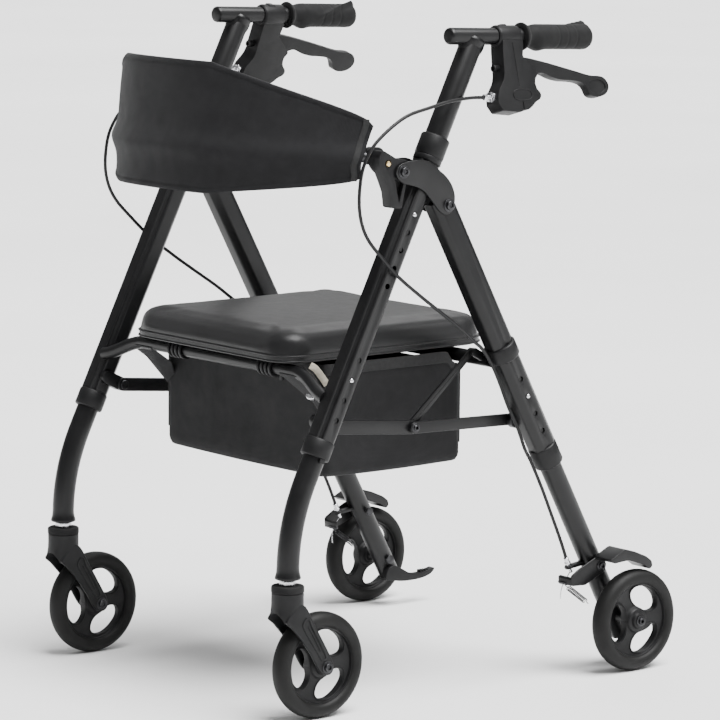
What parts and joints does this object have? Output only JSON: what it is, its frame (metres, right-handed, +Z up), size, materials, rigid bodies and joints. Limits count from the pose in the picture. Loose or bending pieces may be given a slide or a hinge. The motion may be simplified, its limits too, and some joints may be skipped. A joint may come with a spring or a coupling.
{
  "type": "rollator walker",
  "caption": "Folding rolling walker with padded seat, under-seat bag, curved backrest, hand brakes, height-adjustable handles and legs, fixed rear wheels and swivel front casters.",
  "frame": {"origin": "centre of the footprint on the floor, bottom centre of the bounding box", "axes": "+X to the user's left, the plane x=0 is the plane of symmetry; -Y is the way it rolls; +Z up, the tallest direction"},
  "size_m": [0.672, 0.757, 0.9681],
  "materials": {
    "frame_black": "satin black powder coat",
    "grip_rubber": "matte",
    "black_plastic": "moulded, satin",
    "seat_vinyl": "grained vinyl",
    "backrest_fabric": "knitted, matte",
    "bag_nylon": "woven nylon",
    "wheel_black": "matte",
    "button_silver": "bright zinc",
    "button_brass": "polished",
    "cable_black": "smooth vinyl jacket",
    "steel_dark": "blackened"
  },
  "bodies": {
    "front_frame": {"front_leg_left": "frame_black", "front_leg_right": "frame_black", "upright_collar_left": "black_plastic", "upright_collar_right": "black_plastic", "front_leg_collar_left": "black_plastic", "front_leg_collar_right": "black_plastic", "hinge_plate_left": "frame_black", "hinge_plate_right": "frame_black", "backrest_bracket_left": "black_plastic", "backrest_bracket_right": "black_plastic", "brake_cable_upper_left": "cable_black", "brake_cable_upper_right": "cable_black", "front_cross_tube": "frame_black", "backrest_strap": "backrest_fabric", "backrest_tube": "steel_dark", "bag": "bag_nylon"},
    "rear_frame": {"rear_leg_left": "frame_black", "rear_leg_right": "frame_black", "rear_leg_collar_left": "black_plastic", "rear_leg_collar_right": "black_plastic", "brake_cable_lower_left": "cable_black", "brake_cable_lower_right": "cable_black", "rear_cross_tube": "frame_black"},
    "seat": {"seat_pad": "seat_vinyl", "seat_pan": "black_plastic"},
    "handle_left": {"handle_upright_left": "frame_black", "grip_left": "grip_rubber", "brake_housing_left": "black_plastic"},
    "lever_left": {"brake_lever_left": "black_plastic"},
    "handle_button_left": {"handle_button_left": "button_silver"},
    "front_lower_left": {"front_lower_leg_left": "frame_black"},
    "front_leg_button_left": {"front_leg_button_left": "button_silver"},
    "caster_left": {"caster_fork_left": "black_plastic"},
    "front_wheel_left": {"front_wheel_left": "wheel_black"},
    "rear_lower_left": {"rear_lower_leg_left": "frame_black"},
    "rear_leg_button_left": {"rear_leg_button_left": "button_silver"},
    "brake_arm_left": {"brake_arm_left": "frame_black"},
    "rear_wheel_left": {"rear_wheel_left": "wheel_black"},
    "spreader_front_left": {"spreader_front_left": "frame_black"},
    "spreader_rear_left": {"spreader_rear_left": "frame_black"},
    "fold_link_left": {"fold_link_left": "steel_dark"},
    "backrest_button_left": {"backrest_button_left": "button_brass"},
    "handle_right": {"handle_upright_right": "frame_black", "grip_right": "grip_rubber", "brake_housing_right": "black_plastic"},
    "lever_right": {"brake_lever_right": "black_plastic"},
    "handle_button_right": {"handle_button_right": "button_silver"},
    "front_lower_right": {"front_lower_leg_right": "frame_black"},
    "front_leg_button_right": {"front_leg_button_right": "button_silver"},
    "caster_right": {"caster_fork_right": "black_plastic"},
    "front_wheel_right": {"front_wheel_right": "wheel_black"},
    "rear_lower_right": {"rear_lower_leg_right": "frame_black"},
    "rear_leg_button_right": {"rear_leg_button_right": "button_silver"},
    "brake_arm_right": {"brake_arm_right": "frame_black"},
    "rear_wheel_right": {"rear_wheel_right": "wheel_black"},
    "spreader_front_right": {"spreader_front_right": "frame_black"},
    "spreader_rear_right": {"spreader_rear_right": "frame_black"},
    "fold_link_right": {"fold_link_right": "steel_dark"},
    "backrest_button_right": {"backrest_button_right": "button_brass"}
  },
  "joints": [
    {"name": "frame_fold", "type": "hinge", "parent": "front_frame", "child": "rear_frame", "pos_m": [0, -0.06353, 0.716], "axis": [-1, 0, 0], "range_deg": [0, 36], "deforming": ["bag", "brake_cable_upper_left", "brake_cable_upper_right"]},
    {"name": "seat_flip", "type": "hinge", "parent": "front_frame", "child": "seat", "pos_m": [0, -0.24853, 0.48], "axis": [1, 0, 0], "range_deg": [0, 78]},
    {"name": "handle_height_left", "type": "slide", "parent": "front_frame", "child": "handle_left", "axis": [0, -0.4428, -0.8966], "range_m": [0, 0.1096], "deforming": ["brake_cable_upper_left", "handle_button_left"]},
    {"name": "brake_lever_left", "type": "hinge", "parent": "handle_left", "child": "lever_left", "pos_m": [0.28835, 0.06145, 0.89343], "axis": [0.9641, 0.0111, 0.2653], "range_deg": [0, 10], "stiffness_Nm_per_rad": 1.5},
    {"name": "handle_button_left", "type": "slide", "parent": "handle_left", "child": "handle_button_left", "axis": [-1, 0, 0], "range_m": [0, 0.003], "stiffness_N_per_m": 500},
    {"name": "front_leg_length_left", "type": "slide", "parent": "front_frame", "child": "front_lower_left", "axis": [0, -0.4428, -0.8966], "range_m": [-0.0303, 0.0606], "deforming": ["front_leg_button_left"]},
    {"name": "front_leg_button_left", "type": "slide", "parent": "front_lower_left", "child": "front_leg_button_left", "axis": [-1, 0, 0], "range_m": [0, 0.003], "stiffness_N_per_m": 500},
    {"name": "caster_swivel_left", "type": "hinge", "parent": "front_lower_left", "child": "caster_left", "pos_m": [0.2713, -0.33293, 0.18], "axis": [0, 0, 1], "continuous": true},
    {"name": "front_wheel_spin_left", "type": "hinge", "parent": "caster_left", "child": "front_wheel_left", "pos_m": [0.2713, -0.27853, 0.0762], "axis": [1, 0, 0], "continuous": true},
    {"name": "rear_leg_length_left", "type": "slide", "parent": "rear_frame", "child": "rear_lower_left", "axis": [0, 0.4821, -0.8761], "range_m": [-0.0303, 0.0606], "deforming": ["brake_cable_lower_left", "rear_leg_button_left"]},
    {"name": "rear_leg_button_left", "type": "slide", "parent": "rear_lower_left", "child": "rear_leg_button_left", "axis": [-1, 0, 0], "range_m": [0, 0.003], "stiffness_N_per_m": 500},
    {"name": "brake_arm_left", "type": "hinge", "parent": "rear_lower_left", "child": "brake_arm_left", "pos_m": [0.2715, 0.24268, 0.15948], "axis": [-1, 0, 0], "range_deg": [0, 3]},
    {"name": "rear_wheel_spin_left", "type": "hinge", "parent": "rear_lower_left", "child": "rear_wheel_left", "pos_m": [0.3145, 0.28847, 0.0762], "axis": [1, 0, 0], "continuous": true},
    {"name": "spreader_front_turn_left", "type": "hinge", "parent": "front_frame", "child": "spreader_front_left", "pos_m": [0.244, -0.24253, 0.408], "axis": [1, 0, 0], "range_deg": [0, 60.7]},
    {"name": "spreader_rear_turn_left", "type": "hinge", "parent": "rear_frame", "child": "spreader_rear_left", "pos_m": [0.249, 0.09847, 0.388], "axis": [-1, 0, 0], "range_deg": [0, 44]},
    {"name": "fold_link_turn_left", "type": "hinge", "parent": "rear_frame", "child": "fold_link_left", "pos_m": [0.237, 0.03047, 0.492], "axis": [-1, 0, 0], "range_deg": [0, 64.6]},
    {"name": "backrest_button_left", "type": "slide", "parent": "front_frame", "child": "backrest_button_left", "axis": [-1, 0, 0], "range_m": [0, 0.002], "stiffness_N_per_m": 500},
    {"name": "handle_height_right", "type": "slide", "parent": "front_frame", "child": "handle_right", "axis": [0, -0.4428, -0.8966], "range_m": [0, 0.1096], "deforming": ["brake_cable_upper_right", "handle_button_right"]},
    {"name": "brake_lever_right", "type": "hinge", "parent": "handle_right", "child": "lever_right", "pos_m": [-0.28835, 0.06145, 0.89343], "axis": [0.9641, -0.0111, -0.2653], "range_deg": [0, 10], "stiffness_Nm_per_rad": 1.5},
    {"name": "handle_button_right", "type": "slide", "parent": "handle_right", "child": "handle_button_right", "axis": [1, 0, 0], "range_m": [0, 0.003], "stiffness_N_per_m": 500},
    {"name": "front_leg_length_right", "type": "slide", "parent": "front_frame", "child": "front_lower_right", "axis": [0, -0.4428, -0.8966], "range_m": [-0.0303, 0.0606], "deforming": ["front_leg_button_right"]},
    {"name": "front_leg_button_right", "type": "slide", "parent": "front_lower_right", "child": "front_leg_button_right", "axis": [1, 0, 0], "range_m": [0, 0.003], "stiffness_N_per_m": 500},
    {"name": "caster_swivel_right", "type": "hinge", "parent": "front_lower_right", "child": "caster_right", "pos_m": [-0.2713, -0.33293, 0.18], "axis": [0, 0, 1], "continuous": true},
    {"name": "front_wheel_spin_right", "type": "hinge", "parent": "caster_right", "child": "front_wheel_right", "pos_m": [-0.2713, -0.27853, 0.0762], "axis": [1, 0, 0], "continuous": true},
    {"name": "rear_leg_length_right", "type": "slide", "parent": "rear_frame", "child": "rear_lower_right", "axis": [0, 0.4821, -0.8761], "range_m": [-0.0303, 0.0606], "deforming": ["brake_cable_lower_right", "rear_leg_button_right"]},
    {"name": "rear_leg_button_right", "type": "slide", "parent": "rear_lower_right", "child": "rear_leg_button_right", "axis": [1, 0, 0], "range_m": [0, 0.003], "stiffness_N_per_m": 500},
    {"name": "brake_arm_right", "type": "hinge", "parent": "rear_lower_right", "child": "brake_arm_right", "pos_m": [-0.2715, 0.24268, 0.15948], "axis": [-1, 0, 0], "range_deg": [0, 3]},
    {"name": "rear_wheel_spin_right", "type": "hinge", "parent": "rear_lower_right", "child": "rear_wheel_right", "pos_m": [-0.3145, 0.28847, 0.0762], "axis": [1, 0, 0], "continuous": true},
    {"name": "spreader_front_turn_right", "type": "hinge", "parent": "front_frame", "child": "spreader_front_right", "pos_m": [-0.244, -0.24253, 0.408], "axis": [1, 0, 0], "range_deg": [0, 60.7]},
    {"name": "spreader_rear_turn_right", "type": "hinge", "parent": "rear_frame", "child": "spreader_rear_right", "pos_m": [-0.249, 0.09847, 0.388], "axis": [-1, 0, 0], "range_deg": [0, 44]},
    {"name": "fold_link_turn_right", "type": "hinge", "parent": "rear_frame", "child": "fold_link_right", "pos_m": [-0.237, 0.03047, 0.492], "axis": [-1, 0, 0], "range_deg": [0, 64.6]},
    {"name": "backrest_button_right", "type": "slide", "parent": "front_frame", "child": "backrest_button_right", "axis": [1, 0, 0], "range_m": [0, 0.002], "stiffness_N_per_m": 500}
  ],
  "couplings": [
    {"joint": "brake_arm_left", "follows": "brake_lever_left", "ratio": 0.3},
    {"joint": "spreader_front_turn_left", "follows": "frame_fold", "ratio": 1.6842},
    {"joint": "spreader_rear_turn_left", "follows": "frame_fold", "ratio": 1.2207},
    {"joint": "fold_link_turn_left", "follows": "frame_fold", "ratio": 1.7939},
    {"joint": "brake_arm_right", "follows": "brake_lever_right", "ratio": 0.3},
    {"joint": "spreader_front_turn_right", "follows": "frame_fold", "ratio": 1.6842},
    {"joint": "spreader_rear_turn_right", "follows": "frame_fold", "ratio": 1.2207},
    {"joint": "fold_link_turn_right", "follows": "frame_fold", "ratio": 1.7939}
  ]
}
